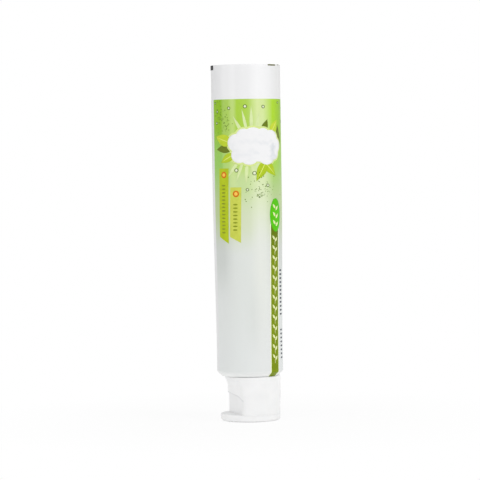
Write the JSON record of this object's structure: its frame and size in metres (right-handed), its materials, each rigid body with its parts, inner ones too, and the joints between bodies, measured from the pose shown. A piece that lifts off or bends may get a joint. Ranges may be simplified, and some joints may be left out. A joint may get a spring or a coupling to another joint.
{
  "type": "toothpaste tube",
  "caption": "Empty toothpaste tube: printed laminate sleeve with an open, unsealed end, a moulded shoulder and neck, and a flip-top cap with a thumb recess and a hinge strap.",
  "frame": {"origin": "on the tube's axis in the flat underside of the closed lid, which is the plane that the tube stands on", "axes": "+Z along the tube from the cap to the open end; -X towards the cap's thumb recess and the sleeve's seam; +X towards the hinge strap"},
  "size_m": [0.0371, 0.035, 0.1881],
  "materials": {
    "printed_laminate": "printed, satin gloss",
    "head_plastic": "moulded, natural white",
    "cap_plastic": "moulded, semi-gloss white"
  },
  "bodies": {
    "tube": {"tube_sleeve": "printed_laminate", "tube_head": "head_plastic", "cap_base": "cap_plastic"},
    "strap": {"hinge_strap": "cap_plastic"},
    "lid": {"cap_lid": "cap_plastic"}
  },
  "joints": [
    {"name": "strap_hinge", "type": "hinge", "parent": "tube", "child": "strap", "pos_m": [0.0143, 0, 0.0096], "axis": [0, -1, 0], "range_deg": [0, 60]},
    {"name": "lid_hinge", "type": "hinge", "parent": "strap", "child": "lid", "pos_m": [0.0143, 0, 0.0036], "axis": [0, -1, 0], "range_deg": [0, 90]}
  ]
}
